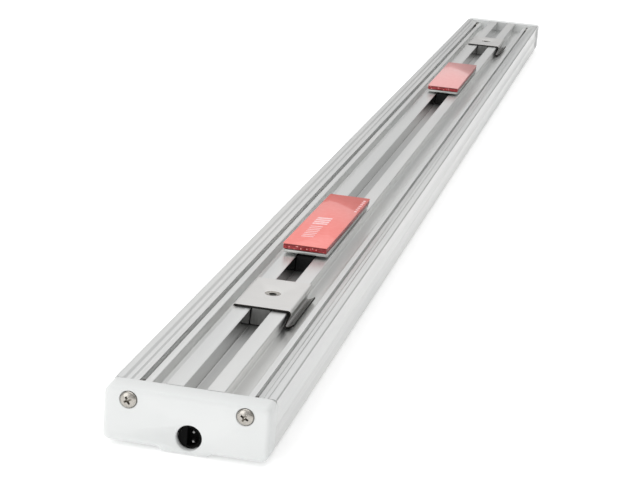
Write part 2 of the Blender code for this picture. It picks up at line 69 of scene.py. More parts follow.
# ---- camera -------------------------------------------------------------------------------
CAMERA_PLACE = Vector((0.1382, -0.982, 0.2248))
CAMERA_AIM = Vector((-0.00863, -0.2, 0.00655))
CAMERA_ROLL = math.radians(4.7)
CAMERA_LENS = 104.14           # mm, on the sensor's width
CAMERA_SENSOR = 36.0           # mm
CAMERA_CLIP_START = 0.05

# ---- light and stage ----------------------------------------------------------------------
SKY_BY_HEIGHT = ((0.0, 0.90), (0.9, 1.0))    # stops of (position, grey) along world Z
SKY_BY_SIDE = ((0.1, 1.0), (0.8, 0.60))      # and along world X
SKY_STRENGTH = 0.80
AREA_LIGHTS = (                              # name, place, aim, side length, watts
    ("overhead", (0.0, 0.1, 1.3), (0.0, 0.0, 0.0), 1.6, 9.0),
    ("front_left", (-0.8, -1.5, 0.6), (0.0, -0.3, 0.0), 1.1, 5.5))
FLOOR_HALF, FLOOR_LEVEL = 6.0, -0.0002
FLOOR_GREY, FLOOR_GLOW = 0.94, 0.27
FLAG_HALF, FLAG_AWAY, FLAG_HEIGHT = 2.6, 2.1, 0.34
FLAG_GREY, FLAG_GLOW = 0.02, 0.0
STAGE_ROUGHNESS = 0.9

# ---- sizes read from the frame ------------------------------------------------------------
HOUSING_LOW, HOUSING_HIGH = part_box("housing_extrusion")
HALF_WIDTH = HOUSING_HIGH.x
TOP = HOUSING_HIGH.z
BASE = HOUSING_LOW.z
HOUSING_HALF = HOUSING_HIGH.y
CAP_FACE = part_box("end_cap_far")[1].y
CAP_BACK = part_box("end_cap_far")[0].y
ENDS = {"near": -1, "far": 1}

# ---- the housing's section, as in the frame -----------------------------------------------
RAIL_DEPTH = 6.4 * MM
SLOT_HALF = 3.8 * MM
SLOT_FLOOR_HALF = 4.2 * MM
LAND_HALF = 9.94 * MM
NECK_HALF = 8.3 * MM
SCREW_X = 19.15 * MM
SCREW_DROP = 3.7 * MM
PORT_RADIUS = 1.45 * MM
PORT_MOUTH_HALF = 1.15 * MM
MOUTH_HALF = 9.1 * MM
CHAMBER_HALF = 12 * MM
FLUTE_DEPTH = 0.8 * MM         # hollows along both sides, with a ridge between them
FLUTE_STEPS = 12
RIDGE = TOP - 9.5 * MM
EDGE_ROUND = 0.9 * MM          # outer edges of the section
CEILING = TOP - 8.6 * MM       # of the light chamber


# ---- stage, light and camera --------------------------------------------------------------
def clear_lights_and_cameras():
    for obj in list(bpy.data.objects):
        if obj.type in {"LIGHT", "CAMERA"}:
            bpy.data.objects.remove(obj, do_unlink=True)


def make_camera():
    """A long lens at a low angle over the inlet's end, with a slight roll."""
    data = bpy.data.cameras.new("camera")
    data.lens = CAMERA_LENS
    data.sensor_width = CAMERA_SENSOR
    data.clip_start = CAMERA_CLIP_START
    camera = bpy.data.objects.new("camera", data)
    bpy.context.scene.collection.objects.link(camera)
    look = (CAMERA_AIM - CAMERA_PLACE).to_track_quat("-Z", "Y").to_matrix().to_4x4()
    camera.matrix_world = Matrix.Translation(CAMERA_PLACE) @ look @ Matrix.Rotation(
        CAMERA_ROLL, 4, "Z")
    bpy.context.scene.camera = camera


def make_area_light(name, place, aim, side, power):
    data = bpy.data.lights.new(name, "AREA")
    data.shape = "RECTANGLE"
    data.size, data.size_y = side, side
    data.energy = power
    light = bpy.data.objects.new(name, data)
    bpy.context.scene.collection.objects.link(light)
    light.location = place
    light.rotation_euler = (Vector(aim) - Vector(place)).to_track_quat("-Z", "Y").to_euler()


def make_world():
    """A pale sky that is a little dimmer low down and to the bar's right."""
    world = bpy.data.worlds.new("studio")
    bpy.context.scene.world = world
    world.use_nodes = True
    nodes, links = world.node_tree.nodes, world.node_tree.links
    coordinate = nodes.new("ShaderNodeTexCoord")
    split = nodes.new("ShaderNodeSeparateXYZ")
    links.new(coordinate.outputs["Generated"], split.inputs[0])

    def fade(axis, stops):
        ramp = nodes.new("ShaderNodeValToRGB")
        for element, (position, grey) in zip(ramp.color_ramp.elements, stops):
            element.position = position
            element.color = (grey, grey, grey, 1.0)
        links.new(split.outputs[axis], ramp.inputs[0])
        return ramp.outputs[0]

    product = nodes.new("ShaderNodeVectorMath")
    product.operation = "MULTIPLY"
    links.new(fade("Z", SKY_BY_HEIGHT), product.inputs[0])
    links.new(fade("X", SKY_BY_SIDE), product.inputs[1])
    links.new(product.outputs[0], nodes["Background"].inputs["Color"])
    nodes["Background"].inputs["Strength"].default_value = SKY_STRENGTH


def stage_sheet(name, corners, shade_of_grey, glow):
    """A flat sheet of the studio with a matt paint of its own."""
    mesh = bpy.data.meshes.new(name)
    mesh.from_pydata(corners, [], [(0, 1, 2, 3)])
    sheet = bpy.data.objects.new(name, mesh)
    bpy.context.scene.collection.objects.link(sheet)
    paint = bpy.data.materials.new(name + "_paint")
    paint.use_nodes = True
    shader = paint.node_tree.nodes["Principled BSDF"]
    shader.inputs["Base Color"].default_value = (shade_of_grey, shade_of_grey, shade_of_grey, 1.0)
    shader.inputs["Roughness"].default_value = STAGE_ROUGHNESS
    shader.inputs["Emission Color"].default_value = (1.0, 1.0, 1.0, 1.0)
    shader.inputs["Emission Strength"].default_value = glow
    mesh.materials.append(paint)
    return sheet


def make_stage():
    """A wide pale floor, and a low black flag beyond the far end for the metal to reflect."""
    floor = [(x * FLOOR_HALF, y * FLOOR_HALF, FLOOR_LEVEL)
             for x, y in ((-1, -1), (1, -1), (1, 1), (-1, 1))]
    stage_sheet("floor", floor, FLOOR_GREY, FLOOR_GLOW)
    upright = [(x * FLAG_HALF, FLAG_AWAY, z)
               for x, z in ((-1, 0.0), (1, 0.0), (1, FLAG_HEIGHT), (-1, FLAG_HEIGHT))]
    flag = stage_sheet("flag", upright, FLAG_GREY, FLAG_GLOW)
    flag.visible_camera = False
    flag.visible_shadow = False


bpy.context.scene.view_settings.view_transform = "Standard"
clear_lights_and_cameras()
make_camera()
make_world()
make_stage()
for light_values in AREA_LIGHTS:
    make_area_light(*light_values)


# ---- mesh helpers -------------------------------------------------------------------------
SOFTEN_ANGLE = 50              # degrees; only sharper edges are rounded


def arc(centre, radius, start, end, steps):
    """Points of a circular arc in a plane, angles in degrees."""
    points = []
    for i in range(steps + 1):
        angle = math.radians(start + (end - start) * i / steps)
        points.append((centre[0] + radius * math.cos(angle), centre[1] + radius * math.sin(angle)))
    return points


def rounded(corners, closed=True, steps=5):
    """Points along corners given as (x, z, radius), each rounded to its own radius."""
    count = len(corners)
    points = []
    for i, (x, z, radius) in enumerate(corners):
        at_end = not closed and i in (0, count - 1)
        if radius == 0 or at_end:
            points.append((x, z))
            continue
        before, after = Vector(corners[i - 1][:2]), Vector(corners[(i + 1) % count][:2])
        corner = Vector((x, z))
        a, b = (before - corner), (after - corner)
        longest = min(a.length, b.length) * 0.49
        a.normalize()
        b.normalize()
        half_angle = a.angle(b) / 2
        if half_angle > math.radians(89.5):
            points.append((x, z))
            continue
        reach = min(radius / math.tan(half_angle), longest)
        radius = reach * math.tan(half_angle)
        centre = corner + (a + b).normalized() * radius / math.sin(half_angle)
        start, end = corner + a * reach - centre, corner + b * reach - centre
        sweep = math.atan2(start.x * end.y - start.y * end.x, start.dot(end))
        base = math.atan2(start.y, start.x)
        for k in range(steps + 1):
            angle = base + sweep * k / steps
            points.append((centre.x + radius * math.cos(angle), centre.y + radius * math.sin(angle)))
    return points


def mirrored(half):
    """Close a half outline that starts and ends near X = 0 with its mirror image."""
    return half + [(-point[0], *point[1:]) for point in reversed(half)]


def thickened(path, thickness):
    """Outline of a sheet of even thickness that follows a path through its middle."""
    left, right = [], []
    for i, here in enumerate(path):
        before, after = Vector(path[max(i - 1, 0)]), Vector(path[min(i + 1, len(path) - 1)])
        along = (after - before).normalized()
        normal = Vector((-along.y, along.x)) * thickness / 2
        left.append(tuple(Vector(here) + normal))
        right.append(tuple(Vector(here) - normal))
    return left + right[::-1]


def shade(obj, degrees):
    """Shade smooth, but keep edges sharper than this angle."""
    obj.data.shade_smooth()
    obj.data.set_sharp_from_angle(angle=math.radians(degrees))


def applied(obj):
    """Replace a mesh by what its object's modifiers make of it."""
    bpy.context.view_layer.update()
    evaluated = obj.evaluated_get(bpy.context.evaluated_depsgraph_get())
    mesh = bpy.data.meshes.new_from_object(evaluated)
    obj.modifiers.clear()
    obj.data = mesh
    return obj


def new_object(name, work, surface=None):
    """A scene object from a finished bmesh, facing outwards."""
    bmesh.ops.recalc_face_normals(work, faces=work.faces)
    mesh = bpy.data.meshes.new(name)
    work.to_mesh(mesh)
    work.free()
    obj = bpy.data.objects.new(name, mesh)
    bpy.context.scene.collection.objects.link(obj)
    if surface is not None:
        mesh.materials.append(surface)
    return obj


def extruded(name, outlines, y_from, y_to, surface=None):
    """A section in XZ with its holes, extruded along Y, as a welded mesh."""
    curve = bpy.data.curves.new(name, "CURVE")
    curve.dimensions = "2D"
    curve.fill_mode = "BOTH"
    curve.extrude = (y_to - y_from) / 2
    for outline in outlines:
        spline = curve.splines.new("POLY")
        spline.points.add(len(outline) - 1)
        for point, (x, z) in zip(spline.points, outline):
            point.co = (x, z, 0.0, 1.0)
        spline.use_cyclic_u = True
    drawn = bpy.data.objects.new(name, curve)
    bpy.context.scene.collection.objects.link(drawn)
    bpy.context.view_layer.update()
    evaluated = drawn.evaluated_get(bpy.context.evaluated_depsgraph_get())
    mesh = bpy.data.meshes.new_from_object(evaluated)
    bpy.data.objects.remove(drawn, do_unlink=True)
    work = bmesh.new()
    work.from_mesh(mesh)
    bpy.data.meshes.remove(mesh)
    bmesh.ops.remove_doubles(work, verts=work.verts, dist=1e-6)
    bmesh.ops.rotate(work, verts=work.verts, matrix=Matrix.Rotation(math.radians(90), 3, "X"))
    bmesh.ops.translate(work, verts=work.verts, vec=(0.0, (y_from + y_to) / 2, 0.0))
    return new_object(name, work, surface)


def add_loft(work, rings):
    """Add a closed body through loops of points of equal count."""
    loops = [[work.verts.new(point) for point in ring] for ring in rings]
    count = len(loops[0])
    for first, second in zip(loops, loops[1:]):
        for i in range(count):
            j = (i + 1) % count
            work.faces.new((first[i], first[j], second[j], second[i]))
    work.faces.new(loops[0])
    work.faces.new(loops[-1])


def lofted(name, rings, surface=None):
    """An object that is one closed body through loops of points."""
    work = bmesh.new()
    add_loft(work, rings)
    return new_object(name, work, surface)


def turned(name, profile, sides, surface=None):
    """A turned body about Z from (radius, z) points that start and end on the axis."""
    work = bmesh.new()
    loops = []
    for radius, z in profile:
        if radius == 0:
            loops.append([work.verts.new((0.0, 0.0, z))])
            continue
        loops.append([work.verts.new((radius * math.cos(2 * math.pi * k / sides),
                                      radius * math.sin(2 * math.pi * k / sides), z))
                      for k in range(sides)])
    for first, second in zip(loops, loops[1:]):
        for k in range(sides):
            j = (k + 1) % sides
            corners = [first[k % len(first)], first[j % len(first)],
                       second[j % len(second)], second[k % len(second)]]
            work.faces.new(list(dict.fromkeys(corners)))
    return new_object(name, work, surface)


def cut(target, tool, operation="DIFFERENCE"):
    """Cut one mesh with another and keep the result as a plain mesh."""
    change = target.modifiers.new("cut", "BOOLEAN")
    change.operation = operation
    change.object = tool
    change.solver = "EXACT"
    applied(target)
    bpy.data.objects.remove(tool, do_unlink=True)


def turn_to_end(obj, x, y, z, side):
    """Stand a body turned about Z along the bar, its +Z towards an end of the bar."""
    obj.data.transform(Matrix.Translation((x, y, z)) @ Matrix.Rotation(
        math.radians(-90 * side), 4, "X"))
    return obj


def soften(obj, width):
    """Round the hard edges of a mesh by a small width and keep the result."""
    bevel = obj.modifiers.new("soften", "BEVEL")
    bevel.width = width
    bevel.segments = 2
    bevel.limit_method = "ANGLE"
    bevel.angle_limit = math.radians(SOFTEN_ANGLE)
    bevel.harden_normals = False
    applied(obj)


# ---- materials ----------------------------------------------------------------------------
class Surface:
    """A Principled material with short calls for the nodes that most of them share."""

    def __init__(self, name, roughness, metallic=0.0, **sockets):
        self.material = bpy.data.materials.new(name)
        self.material.use_nodes = True
        self.nodes = self.material.node_tree.nodes
        self.links = self.material.node_tree.links
        self.shader = self.nodes["Principled BSDF"]
        self.shader.inputs["Roughness"].default_value = roughness
        self.shader.inputs["Metallic"].default_value = metallic
        for socket, value in sockets.items():
            label = socket.replace("_", " ").title().replace("Ior", "IOR")
            self.shader.inputs[label].default_value = value

    def coordinates(self, scale=(1.0, 1.0, 1.0)):
        source = self.nodes.new("ShaderNodeTexCoord")
        mapping = self.nodes.new("ShaderNodeMapping")
        mapping.inputs["Scale"].default_value = scale
        self.links.new(source.outputs["Object"], mapping.inputs["Vector"])
        return mapping.outputs["Vector"]

    def noise(self, scale, detail=2.0, stretch=(1.0, 1.0, 1.0)):
        texture = self.nodes.new("ShaderNodeTexNoise")
        texture.inputs["Scale"].default_value = scale
        texture.inputs["Detail"].default_value = detail
        self.links.new(self.coordinates(stretch), texture.inputs["Vector"])
        return texture.outputs["Fac"]

    def cells(self, scale):
        texture = self.nodes.new("ShaderNodeTexVoronoi")
        texture.inputs["Scale"].default_value = scale
        self.links.new(self.coordinates(), texture.inputs["Vector"])
        return texture.outputs["Distance"]

    def ramp(self, value, *stops):
        """A colour ramp over a value; stops are (position, colour or grey)."""
        ramp = self.nodes.new("ShaderNodeValToRGB")
        elements = ramp.color_ramp.elements
        while len(elements) < len(stops):
            elements.new(0.5)
        for element, (position, colour) in zip(elements, stops):
            element.position = position
            if isinstance(colour, (int, float)):
                colour = (colour, colour, colour)
            element.color = (*colour, 1.0)
        self.links.new(value, ramp.inputs["Fac"])
        return ramp.outputs["Color"]

    def colour(self, value, *stops):
        self.links.new(self.ramp(value, *stops), self.shader.inputs["Base Color"])

    def roughness(self, value, *stops):
        self.links.new(self.ramp(value, *stops), self.shader.inputs["Roughness"])

    def bump(self, value, distance, strength):
        node = self.nodes.new("ShaderNodeBump")
        node.inputs["Distance"].default_value = distance
        node.inputs["Strength"].default_value = strength
        self.links.new(value, node.inputs["Height"])
        self.links.new(node.outputs["Normal"], self.shader.inputs["Normal"])


def anodised_aluminium(name="anodised_aluminium", light=0.84, roughness=(0.30, 0.42)):
    """Satin clear anodising: fine drawing lines along the bar over a soft mottle."""
    surface = Surface(name, 0.36, 1.0)
    lines = surface.noise(1.0, 3.0, (2600.0, 7.0, 2600.0))
    mottle = surface.noise(60.0, 3.0, (1.0, 0.12, 1.0))
    warm, cool = (light, light, light * 0.985), (light * 0.92, light * 0.93, light * 0.925)
    surface.colour(mottle, (0.3, cool), (0.7, warm))
    surface.roughness(lines, (0.3, roughness[0]), (0.7, roughness[1]))
    surface.bump(lines, 0.00002, 0.25)
    return surface.material


def moulded_white():
    """White moulded plastic with a very fine spark-eroded texture."""
    surface = Surface("moulded_white", 0.5, specular_ior_level=0.25)
    grain = surface.noise(4200.0, 2.0)
    tone = surface.noise(45.0, 2.0)
    surface.colour(tone, (0.3, (0.71, 0.725, 0.72)), (0.7, (0.74, 0.75, 0.745)))
    surface.roughness(grain, (0.3, 0.50), (0.7, 0.62))
    surface.bump(grain, 0.00002, 0.3)
    return surface.material


def rolled_stainless(name="rolled_stainless", light=0.83, roughness=(0.31, 0.37),
                     grain=(25.0, 2400.0, 2400.0)):
    """Spring stainless sheet with fine rolling lines and faint handling marks."""
    surface = Surface(name, 0.25, 1.0)
    lines = surface.noise(1.0, 3.0, grain)
    marks = surface.noise(160.0, 4.0)
    surface.colour(marks, (0.35, (light, light * 0.985, light * 0.965)),
                   (0.75, (light * 0.965, light * 0.955, light * 0.935)))
    surface.roughness(lines, (0.3, roughness[0]), (0.7, roughness[1]))
    surface.bump(lines, 0.00001, 0.08)
    return surface.material


def sheared_edge_painted_dark():
    """Near-black edge of sheared sheet: painted dark reflection and shade, far darker than the real
    sheared edge.
    """
    surface = Surface("sheared_edge_painted_dark", 0.5, 1.0)
    grain = surface.noise(5200.0, 3.0)
    surface.colour(grain, (0.3, (0.018, 0.017, 0.016)), (0.7, (0.05, 0.048, 0.045)))
    surface.bump(grain, 0.00003, 0.5)
    return surface.material


def clip_underside_shade():
    """Darker copy of the clip's stainless for its underside and inner flanks: painted shade under
    and inside the clip.
    """
    surface = Surface("clip_underside_shade", 0.6, 0.9)
    blotches = surface.noise(420.0, 4.0)
    surface.colour(blotches, (0.3, (0.15, 0.147, 0.142)), (0.7, (0.23, 0.226, 0.218)))
    surface.roughness(blotches, (0.3, 0.5), (0.7, 0.7))
    return surface.material


def machined_screw():
    """Turned stainless: fine rings show as grain, a little darker than the sheet."""
    surface = Surface("machined_screw", 0.22, 1.0)
    grain = surface.noise(2600.0, 3.0)
    surface.colour(grain, (0.3, (0.39, 0.37, 0.335)), (0.7, (0.50, 0.475, 0.44)))
    surface.roughness(grain, (0.3, 0.18), (0.7, 0.30))
    surface.bump(grain, 0.00001, 0.3)
    return surface.material


def moulded_black():
    """Matt black plastic of the power inlet."""
    surface = Surface("moulded_black", 0.6, specular_ior_level=0.06)
    grain = surface.noise(3600.0, 2.0)
    surface.colour(grain, (0.3, (0.002, 0.002, 0.002)), (0.7, (0.005, 0.005, 0.005)))
    surface.roughness(grain, (0.3, 0.5), (0.7, 0.7))
    surface.bump(grain, 0.00002, 0.3)
    return surface.material


def clip_key_painted_shade():
    """Dark grey plastic of the keys under the clips; its dark grey is painted shade of the slot
    under each clip.
    """
    surface = Surface("clip_key_painted_shade", 0.5, specular_ior_level=0.3)
    grain = surface.noise(3000.0, 3.0)
    flow = surface.noise(1.0, 2.0, (500.0, 30.0, 160.0))
    surface.colour(flow, (0.3, (0.15, 0.15, 0.146)), (0.7, (0.21, 0.21, 0.205)))
    surface.roughness(grain, (0.3, 0.45), (0.7, 0.6))
    surface.bump(grain, 0.00002, 0.3)
    return surface.material


def plated_pin():
    surface = Surface("plated_pin", 0.25, 1.0)
    grain = surface.noise(3000.0, 2.0)
    surface.colour(grain, (0.3, (0.22, 0.22, 0.22)), (0.7, (0.30, 0.30, 0.30)))
    surface.roughness(grain, (0.3, 0.35), (0.7, 0.5))
    return surface.material


def pale_plate():
    """The pads' carriers: pale satin plate."""
    surface = Surface("pale_plate", 0.4, 0.85)
    grain = surface.noise(1.0, 3.0, (2200.0, 12.0, 2200.0))
    surface.colour(grain, (0.3, (0.42, 0.43, 0.42)), (0.7, (0.50, 0.51, 0.495)))
    surface.roughness(grain, (0.3, 0.32), (0.7, 0.45))
    return surface.material


def red_foam():
    """Dark clear-red acrylic foam: small voids along the cut, with pale spots painted at the cells'
    centres as their glints.
    """
    surface = Surface("red_foam", 0.2, specular_ior_level=0.6)
    bubbles_and_glints = surface.cells(900.0)
    # pale spots at the cells' centres: painted glints
    surface.colour(bubbles_and_glints, (0.16, (0.90, 0.52, 0.48)), (0.26, (0.52, 0.03, 0.035)),
                   (0.6, (0.27, 0.008, 0.012)))
    surface.roughness(bubbles_and_glints, (0.0, 0.08), (0.5, 0.35))
    surface.bump(bubbles_and_glints, 0.00015, 0.7)
    return surface.material


def release_film(name, dark, light):
    """Thin salmon red release film, lightly mottled by the foam under it."""
    surface = Surface(name, 0.3, specular_ior_level=0.5, coat_weight=0.4)
    mottle = surface.noise(420.0, 4.0)
    broad = surface.noise(38.0, 2.0, (1.0, 0.5, 1.0))
    surface.colour(mottle, (0.3, dark), (0.7, light))
    surface.roughness(broad, (0.3, 0.26), (0.7, 0.42))
    surface.bump(mottle, 0.00004, 0.35)
    return surface.material


def pale_print():
    """Pale ink of the plain stripe mark on the release film."""
    surface = Surface("pale_print", 0.4, specular_ior_level=0.4)
    wear = surface.noise(900.0, 3.0)
    surface.colour(wear, (0.35, (0.90, 0.50, 0.50)), (0.65, (0.93, 0.66, 0.67)))
    return surface.material


def opal_plastic():
    surface = Surface("opal_plastic", 0.35, specular_ior_level=0.5, subsurface_weight=0.2)
    surface.shader.inputs["Subsurface Radius"].default_value = (0.004, 0.004, 0.004)
    surface.shader.inputs["Subsurface Scale"].default_value = 0.5
    flow = surface.noise(1.0, 2.0, (400.0, 5.0, 400.0))
    surface.colour(flow, (0.3, (0.84, 0.845, 0.83)), (0.7, (0.88, 0.885, 0.87)))
    surface.roughness(flow, (0.3, 0.30), (0.7, 0.42))
    return surface.material


def sheet_rubber(name, dark, light):
    surface = Surface(name, 0.75, specular_ior_level=0.25)
    grain = surface.noise(2400.0, 3.0)
    surface.colour(grain, (0.3, dark), (0.7, light))
    surface.bump(grain, 0.00004, 0.5)
    return surface.material


def solder_mask():
    """White board lacquer with the faint shapes of the copper under it."""
    surface = Surface("solder_mask", 0.4, specular_ior_level=0.45)
    copper = surface.noise(1.0, 0.0, (260.0, 55.0, 260.0))
    surface.colour(copper, (0.48, (0.84, 0.84, 0.82)), (0.52, (0.88, 0.88, 0.87)))
    surface.bump(copper, 0.00003, 0.4)
    return surface.material


def led_phosphor():
    """White package with a round yellow phosphor face."""
    surface = Surface("led_phosphor", 0.35, specular_ior_level=0.5)
    grain = surface.noise(2600.0, 2.0)
    surface.colour(grain, (0.3, (0.86, 0.72, 0.22)), (0.7, (0.90, 0.79, 0.33)))
    return surface.material


def wire_skin(name, dark, light):
    surface = Surface(name, 0.38, specular_ior_level=0.5)
    grain = surface.noise(1500.0, 2.0)
    surface.colour(grain, (0.3, dark), (0.7, light))
    surface.bump(grain, 0.00002, 0.3)
    return surface.material


ANODISED = anodised_aluminium()
# darker copies of the anodising: painted shade on the side faces, the slot's walls and the slot's
# floor; the slot's walls are also glossier
ANODISED_SIDE_SHADE = anodised_aluminium("anodised_side_painted_shade", 0.64)
SLOT_WALL_SHADE = anodised_aluminium("slot_wall_painted_shade", 0.70, (0.05, 0.11))
SLOT_FLOOR_SHADE = anodised_aluminium("slot_floor_painted_shade", 0.60, (0.30, 0.40))
WHITE = moulded_white()
STAINLESS = rolled_stainless()
# darker copy of the clip's stainless, its grain along the bar: painted shade on the lower flank and
# lip
BRUSHED_FLANK_SHADE = rolled_stainless("brushed_flank_painted_shade", 0.46, (0.24, 0.40), (2400.0, 25.0, 900.0))
SHEARED_PAINTED_DARK = sheared_edge_painted_dark()
SCREW_METAL = machined_screw()
BLACK = moulded_black()
PIN = plated_pin()
CLIP_UNDERSIDE_SHADE = clip_underside_shade()
CLIP_KEY_SHADE = clip_key_painted_shade()
PLATE = pale_plate()
FOAM = red_foam()
# the far film's paler colour is a painted sheen: the grazing reflection on the far pad
FILM = {"near": release_film("release_film", (0.80, 0.172, 0.146), (0.83, 0.212, 0.187)),
        "far": release_film("release_film_painted_sheen", (0.76, 0.35, 0.34), (0.79, 0.40, 0.39))}
PRINT = pale_print()
OPAL = opal_plastic()
GREY_RUBBER = sheet_rubber("grey_rubber", (0.20, 0.20, 0.195), (0.27, 0.27, 0.26))
# near-black rubber for the keys under the pads: painted shade of the slot under each pad
PAD_KEY_SHADE = sheet_rubber("black_rubber", (0.006, 0.006, 0.006), (0.012, 0.012, 0.012))
BOARD = solder_mask()
PHOSPHOR = led_phosphor()
RED_SKIN = wire_skin("red_wire_skin", (0.40, 0.012, 0.012), (0.50, 0.02, 0.02))
BLACK_SKIN = wire_skin("black_wire_skin", (0.012, 0.012, 0.012), (0.02, 0.02, 0.02))


def finish_piece(piece, body, node, degrees=35):
    """Shade a piece, stand it in for its node and let it ride on its body."""
    shade(piece, degrees)
    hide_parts(node)
    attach(piece, body)
    return piece


def resurface(surface, *names):
    """Give carried-over nodes their finished material."""
    for name in names:
        node = frame["nodes"][name]
        node.data.materials.clear()
        node.data.materials.append(surface)


# ---- housing ------------------------------------------------------------------------------
def flute(z_high, z_low):
    """A shallow hollow in the side face, from one ridge down to the next."""
    points = []
    for i in range(1, FLUTE_STEPS):
        t = i / FLUTE_STEPS
        x = HALF_WIDTH - FLUTE_DEPTH * math.sin(math.pi * t)
        points.append((x, z_high + (z_low - z_high) * t, 0))
    return points


def housing_half():
    """The section for X > 0 as (x, z, radius): rail, screw port, rim, side, lens mouth."""
    floor = TOP - RAIL_DEPTH
    rib_inner, rib_lip = 15.9 * MM, SCREW_X - 0.7 * MM
    rib_top = TOP - 2.4 * MM
    port = TOP - SCREW_DROP
    lift = math.sqrt(PORT_RADIUS ** 2 - PORT_MOUTH_HALF ** 2)
    mouth = math.degrees(math.atan2(lift, PORT_MOUTH_HALF))
    rim = SCREW_X + 0.7 * MM
    edge = HALF_WIDTH - EDGE_ROUND
    high, low = TOP - EDGE_ROUND, BASE + EDGE_ROUND
    groove = MOUTH_HALF + 0.9 * MM
    half = [(SLOT_FLOOR_HALF - 0.2 * MM, floor, 0.6 * MM), (SLOT_HALF, TOP - 0.15 * MM, 0),
            (SLOT_HALF + 0.15 * MM, TOP, 0.15 * MM)]
    half += [(LAND_HALF, TOP, 0.35 * MM), (NECK_HALF, TOP - 4.3 * MM, 0.8 * MM)]
    half += [(NECK_HALF, floor, 0.5 * MM), (rib_inner, floor, 0.6 * MM)]
    half += [(rib_inner, rib_top, 0.5 * MM), (rib_lip, rib_top, 0.1 * MM)]
    half += [(rib_lip, rib_top - 0.25 * MM, 0)]
    half += [(x, z, 0) for x, z in arc((SCREW_X, port), PORT_RADIUS, 180 - mouth, 360 + mouth, 20)]
    half += [(rim, TOP - 1.9 * MM, 0.15 * MM), (21.7 * MM, TOP - 1.45 * MM, 0.3 * MM)]
    half += [(22.3 * MM, TOP - 0.9 * MM, 0.3 * MM), (23.5 * MM, TOP - 0.75 * MM, 0.3 * MM)]
    half += [(24.3 * MM, TOP, 0.4 * MM)]
    half += [(x, z, 0) for x, z in arc((edge, high), EDGE_ROUND, 90, 0, 7)]
    half += flute(high, RIDGE) + [(HALF_WIDTH, RIDGE, 0.25 * MM)] + flute(RIDGE, low)
    half += [(x, z, 0) for x, z in arc((edge, low), EDGE_ROUND, 0, -90, 7)]
    half += [(MOUTH_HALF, BASE, 0.3 * MM), (MOUTH_HALF, BASE + 1.6 * MM, 0)]
    half += [(groove, BASE + 1.9 * MM, 0), (groove, BASE + 3.1 * MM, 0)]
    half += [(MOUTH_HALF, BASE + 3.4 * MM, 0), (MOUTH_HALF, BASE + 3.8 * MM, 0)]
    half += [(CHAMBER_HALF, BASE + 4.6 * MM, 0.3 * MM), (CHAMBER_HALF, CEILING, 0.3 * MM)]
    return half


def hollow(side):
    """The hollow beside the light chamber."""
    inner, outer = CHAMBER_HALF + 2 * MM, HALF_WIDTH - 2.1 * MM
    low, roof = BASE + 1.8 * MM, TOP - 4.2 * MM
    corners = [(inner, low, 0.5 * MM), (outer, low, 1.2 * MM), (outer, roof, 0.5 * MM),
               (outer - 2.2 * MM, roof, 0.4 * MM), (outer - 3.9 * MM, CEILING, 0.4 * MM),
               (inner, CEILING, 0.5 * MM)]
    return [(side * x, z) for x, z in rounded(corners)]


def make_housing():
    """The extrusion, with its sides and its slot's walls and floor in darker copies of the
    anodising: painted shade.
    """
    outline = rounded(mirrored(housing_half()))
    housing = extruded("housing", [outline, hollow(1), hollow(-1)], -HOUSING_HALF, HOUSING_HALF,
                       ANODISED)
    side_shade_index, wall_shade_index, floor_shade_index = 1, 2, 3
    for surface in (ANODISED_SIDE_SHADE, SLOT_WALL_SHADE, SLOT_FLOOR_SHADE):
        housing.data.materials.append(surface)
    near = 0.1 * MM
    # the side faces and the slot's walls and floor take the darker copies: painted shade
    for face in housing.data.polygons:
        x, z = abs(face.center.x), face.center.z
        in_slot = x < SLOT_FLOOR_HALF + near and TOP - RAIL_DEPTH - near < z < TOP - near
        if abs(face.normal.y) > 0.5:
            continue
        if in_slot:
            face.material_index = wall_shade_index if abs(face.normal.x) > 0.9 else floor_shade_index
        elif x > HALF_WIDTH - FLUTE_DEPTH - 2 * near and abs(face.normal.x) > 0.6:
            face.material_index = side_shade_index
    finish_piece(housing, "bar", "housing_extrusion", 28)


# ---- end caps -----------------------------------------------------------------------------
CAP_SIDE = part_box("end_cap_far")[1].x
CAP_PROUD = CAP_SIDE - HALF_WIDTH
CAP_ROUND = 1.5 * MM           # around the outer face
CAP_CORNER = 2.3 * MM
INLET_RADIUS = 4.25 * MM
SEAT_RADIUS = 2.95 * MM        # counterbore under each screw's head
SEAT_DEPTH = 0.9 * MM
SHANK_HOLE = 1.6 * MM
THROUGH = 12 * MM              # cutters reach this far past a cap's face
HEAD_RADIUS, HEAD_HEIGHT, HEAD_EDGE = 2.75 * MM, 1.7 * MM, 0.55 * MM
SHANK_RADIUS, SHANK_LENGTH = 1.15 * MM, 16.8 * MM
SHANK_TIP = 0.6 * MM
RECESS_LOW, RECESS_HIGH = 0.35 * MM, 2.2 * MM
RECESS_TURN = {"near_left": 28, "near_right": 62, "far_left": 10, "far_right": 45}


def cap_ring(y, shrink, inset=0.0):
    """A rounded rectangle with a bulge for the lens; shrink goes from 0 to 1 at the front."""
    fall = CAP_ROUND * shrink + inset
    side, high, low = CAP_SIDE - fall, TOP - fall, BASE - CAP_PROUD + fall
    root, tip = 9.2 * MM - fall, 7.7 * MM - fall
    half = arc((side - CAP_CORNER, high - CAP_CORNER), CAP_CORNER, 90, 0, 9)
    half += arc((side - CAP_CORNER, low + CAP_CORNER), CAP_CORNER, 0, -90, 10)
    half += [(root + 0.25 * MM, low), (root, low - 0.1 * MM), (tip + 0.3 * MM, fall + 0.3 * MM)]
    half += [(tip, fall + 0.05 * MM), (tip - 0.3 * MM, fall)]
    return [(x, y, z) for x, z in mirrored(half)]


